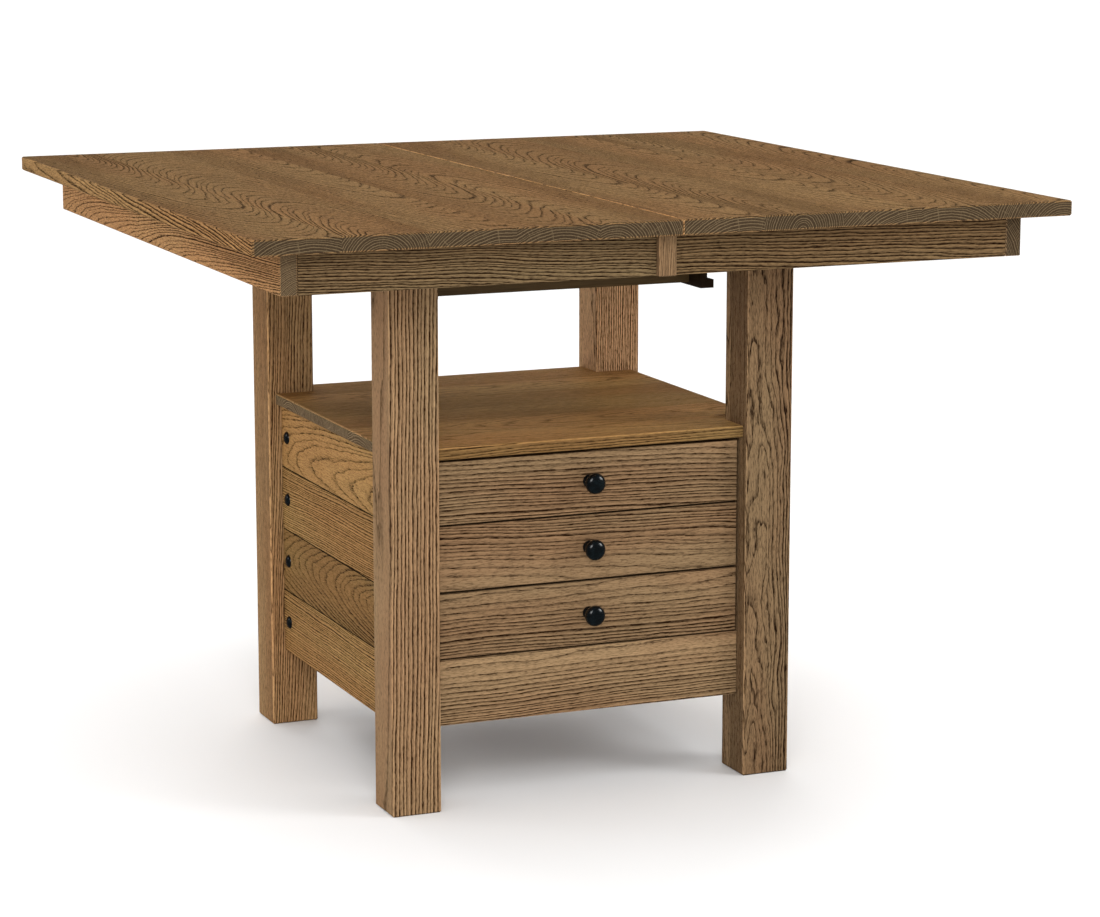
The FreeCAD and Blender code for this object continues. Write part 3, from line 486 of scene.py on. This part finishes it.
# Drawer boxes: sides of clear-coated pale hardwood, dovetailed at the corners.
# The bottoms are thin panels let into grooves in the sides.
box_wood = close_grain("drawer_side_wood", "Y", 25.0, srgb(214, 186, 146), srgb(194, 162, 118))
bottom_wood = close_grain("drawer_bottom_wood", "X", 26.0, srgb(218, 192, 152), srgb(200, 170, 128))
for number in (1, 2, 3):
    finish(box_wood, f"drawer_box_{number}")
    finish(bottom_wood, f"drawer_bottom_{number}")

# Drawer fronts: three oak boards, stained like the legs, with the grain along them.
# Each is screwed to its box from inside, with a narrow gap to the next.
front_cuts = [
    dict(ring=0.0044, seed=12.0, heart=(0.565, -0.22), lean=(-0.03, 0.0), wander=0.008, flame=0.003,
         tone=0.67),
    dict(ring=0.0040, seed=13.0, heart=(0.318, -0.20), lean=(-0.02, 0.02), wander=0.010, flame=0.004,
         tone=0.63),
    dict(ring=0.0044, seed=14.0, heart=(0.350, -0.20), lean=(-0.03, 0.03), wander=0.014, flame=0.004,
         tone=0.64)]
# Their top edges are darkened: painted shade for the shadow in the gap above each front.
for number, cut in enumerate(front_cuts, 1):
    finish(stained_oak(f"drawer_front_oak_{number}", "X", "Z", ripple=0.0008, painted_upper_light=0.5, **cut),
           f"drawer_front_{number}")

# Drawer knobs: mushroom knobs with a flared foot, turned from metal and painted satin black.
# Each is held by a screw from inside the drawer.
knob_stations = [(0.0, 0.0100), (0.0018, 0.0100), (0.0030, 0.0091), (0.0050, 0.0073), (0.0085, 0.0065),
                 (0.0130, 0.0065), (0.0165, 0.0076), (0.0190, 0.0104), (0.0206, 0.0140), (0.0220, 0.0155),
                 (0.0240, 0.0160), (0.0262, 0.0158), (0.0282, 0.0150), (0.0300, 0.0133), (0.0315, 0.0107),
                 (0.0324, 0.0074), (0.0328, 0.0038), (0.0330, 0.0010)]
front_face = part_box("drawer_front_1")[0].y
knob_middle = lowest + course * 3.5
first_knob = turned("drawer_knob_turned_1", (0, front_face, knob_middle), (math.pi / 2, 0, 0),
                    knob_stations, black)
knobs = [first_knob]
for number in (2, 3):
    knobs.append(copied(first_knob, f"drawer_knob_turned_{number}", (0, 0, -course * (number - 1))))
for number, knob in enumerate(knobs, 1):
    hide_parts(f"drawer_knob_{number}")
    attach(knob, f"drawer_{number}")

# Runners and racks: the moving half of the slides, screwed up under the two halves of the top.
# Dovetail edges ride in the beds, and nylon racks face the pinions.
finish(close_grain("runner_wood", "X", 27.0, stained_pale, stained_dark),
       "runner_left_front", "runner_left_rear", "runner_right_front", "runner_right_rear")
finish(nylon, "gear_racks_left", "gear_racks_right")

# Aprons: oak boards under the rim of the top, the end boards lapping the front and back ones,
# with glue blocks in the corners and an upright batten over the split.
grey_pale, grey_rosy = srgb(156, 131, 94), srgb(152, 124, 88)
finish(stained_oak("end_apron_oak_left", "Y", "Z", ring=0.0022, seed=15.0, heart=(0.82, -0.51),
                   lean=(0.01, 0.05), flame=0.0025, ripple=0.0009, depth=1.5, tone=1.5,
                   pale=srgb(161, 125, 83), rosy=srgb(160, 119, 78)), "end_apron_left")
finish(stained_oak("end_apron_oak_right", "Y", "Z", ring=0.0030, seed=16.0, heart=(0.82, 0.51),
                   lean=(0.01, 0.05), flame=0.0035, tone=0.95), "end_apron_right")
# The front aprons are toned darker than the rear ones: painted shade, for the shadow under the rim of the
# top.
finish(stained_oak("front_apron_oak_left", "X", "Z", ring=0.0031, seed=17.0, heart=(0.77, -0.48),
                   lean=(0.0, 0.05), depth=1.3, tone=0.54, pale=grey_pale, rosy=grey_rosy),
       "front_apron_left")
finish(stained_oak("front_apron_oak_right", "X", "Z", ring=0.0037, seed=18.0, heart=(0.74, -0.48),
                   lean=(0.0, 0.03), depth=1.3, tone=0.53,
                   pale=srgb(156, 128, 90), rosy=srgb(152, 121, 84)), "front_apron_right")
finish(stained_oak("rear_apron_oak", "X", "Z", ring=0.0031, seed=30.0, heart=(0.76, 0.48),
                   lean=(0.0, -0.04), depth=1.3, tone=0.8, pale=grey_pale, rosy=grey_rosy),
       "rear_apron_left", "rear_apron_right")
finish(stained_oak("batten_oak", "Z", "X", ring=0.0024, seed=19.0, heart=(0.10, -0.50), lean=(0.02, 0.0),
                   flame=0.002, depth=0.75, tone=0.62), "cover_batten_front", "cover_batten_rear")
finish(close_grain("glue_block_wood", "Z", 28.0, stained_pale, stained_dark),
       "corner_blocks_left", "corner_blocks_right")

# Top: two halves, each glued up from five flat-sawn oak planks that run from front to back,
# so the front and back edges show end grain. Three dowels line the halves up.
top_low, top_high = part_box("top_left")[0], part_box("top_right")[1]
top_cuts = [(0.02, -0.07, 0.09, 0.97), (-0.01, -0.11, -0.10, 0.99), (0.05, -0.08, 0.06, 1.03),
            (0.01, -0.07, 0.09, 0.97), (-0.04, -0.09, -0.07, 1.03), (0.04, -0.08, 0.07, 1.03),
            (0.0, -0.08, -0.09, 0.97), (0.05, -0.08, 0.05, 1.05), (-0.02, -0.07, 0.09, 0.98),
            (0.045, -0.09, -0.06, 1.03)]
# Its upper face is toned darker, painted shade against the lamps overhead, and its sawn ends are toned by
# painted light as well; the pale line along the split is a painted highlight.
finish(stained_oak("top_oak", "Y", "X", ring=0.0036, seed=20.0, heart=(0.0, top_high.z),
                   planks=(top_low.x, top_high.x, top_cuts), wander=0.016, flame=0.0035, depth=1.5, tone=1.0,
                   painted_upper_light=0.68, painted_end_light=0.74, flanks=1.33, edge_wear_and_glint=0.08, painted_seam_glint=0.8,
                   pale=srgb(161, 125, 80), rosy=srgb(159, 118, 74)), "top_left", "top_right")
finish(close_grain("dowel_wood", "X", 29.0, stained_pale, stained_dark), "alignment_pins")

# Studio: a white paper floor in a bright room, lit softly from above, in front and behind.
# Three soft boxes give the highlights. The floor and the far lights are kept out of reflections,
# because white paper lays a milky veil over oak that is seen at a low angle.
floor_size = 120.0
bpy.ops.object.select_all(action="DESELECT")
bpy.ops.mesh.primitive_plane_add(size=floor_size, location=(0, 0, 0))
ground = bpy.context.object
ground.name = "studio_floor"
paper = bpy.data.materials.new("studio_paper")
paper.use_nodes = True
paper_shader = paper.node_tree.nodes["Principled BSDF"]
paper_shader.inputs["Base Color"].default_value = (0.92, 0.92, 0.92, 1.0)
paper_shader.inputs["Roughness"].default_value = 0.9
paper_shader.inputs["Specular IOR Level"].default_value = 0.0
ground.data.materials.append(paper)
ground.visible_glossy = False


def hung(name, lamp, travel):
    """A lamp in the scene, turned so that its light goes the way of travel."""
    holder = bpy.data.objects.new(name, lamp)
    holder.rotation_mode = "QUATERNION"
    holder.rotation_quaternion = Vector(travel).to_track_quat("-Z", "Y")
    bpy.context.scene.collection.objects.link(holder)
    return holder


def soft_light(name, strength, spread, travel):
    """A far-off light, spread over an angle in degrees."""
    lamp = bpy.data.lights.new(name, "SUN")
    lamp.energy = strength
    lamp.angle = math.radians(spread)
    holder = hung(name, lamp, travel)
    holder.visible_glossy = False


def soft_box(name, watts, size, place):
    """A square softbox on a stand, aimed at the middle of the table."""
    lamp = bpy.data.lights.new(name, "AREA")
    lamp.energy = watts
    lamp.size = size
    middle_of_table = Vector((0, 0, 0.5))
    holder = hung(name, lamp, middle_of_table - Vector(place))
    holder.location = place


soft_light("overhead_light", strength=1.4, spread=80, travel=(0.12, 0.05, -0.99))
soft_light("front_light", strength=0.85, spread=26, travel=(0.22, 0.95, -0.22))
soft_light("back_light", strength=2.0, spread=60, travel=(-0.15, -0.94, -0.3))
soft_box("front_box", watts=62.0, size=1.6, place=(-1.8, -4.1, 2.4))
soft_box("right_box", watts=64.0, size=1.5, place=(3.3, -2.6, 2.1))
soft_box("side_box", watts=6.0, size=0.5, place=(-2.8, 1.4, 1.5))

room = bpy.data.worlds.new("studio_room")
room.use_nodes = True
air = room.node_tree.nodes["Background"]
air.inputs["Color"].default_value = (1.0, 1.0, 1.0, 1.0)
sight = node(room.node_tree, "LightPath", {}).outputs
seen = between(room.node_tree, sight["Is Camera Ray"], 0.5, 1.0)
strength = calc(room.node_tree, "MULTIPLY_ADD", sight["Is Glossy Ray"], -0.4, seen)
room.node_tree.links.new(strength, air.inputs["Strength"])
bpy.context.scene.world = room
bpy.context.scene.view_settings.view_transform = "Standard"

# Camera: a long lens at eye height, to the left of the front, tipped down a little.
# Its place and its angle are fitted to the corners of the table in the photograph.
tipped_down, turned_right = 10.719, 22.797
lens = bpy.data.cameras.new("camera")
lens.sensor_width = 36.0
lens.lens = 108.1
eye = bpy.data.objects.new("camera", lens)
eye.location = (-1.9502, -4.7871, 1.4438)
eye.rotation_euler = (math.radians(90 - tipped_down), 0.0, math.radians(-turned_right))
bpy.context.scene.collection.objects.link(eye)
bpy.context.scene.camera = eye
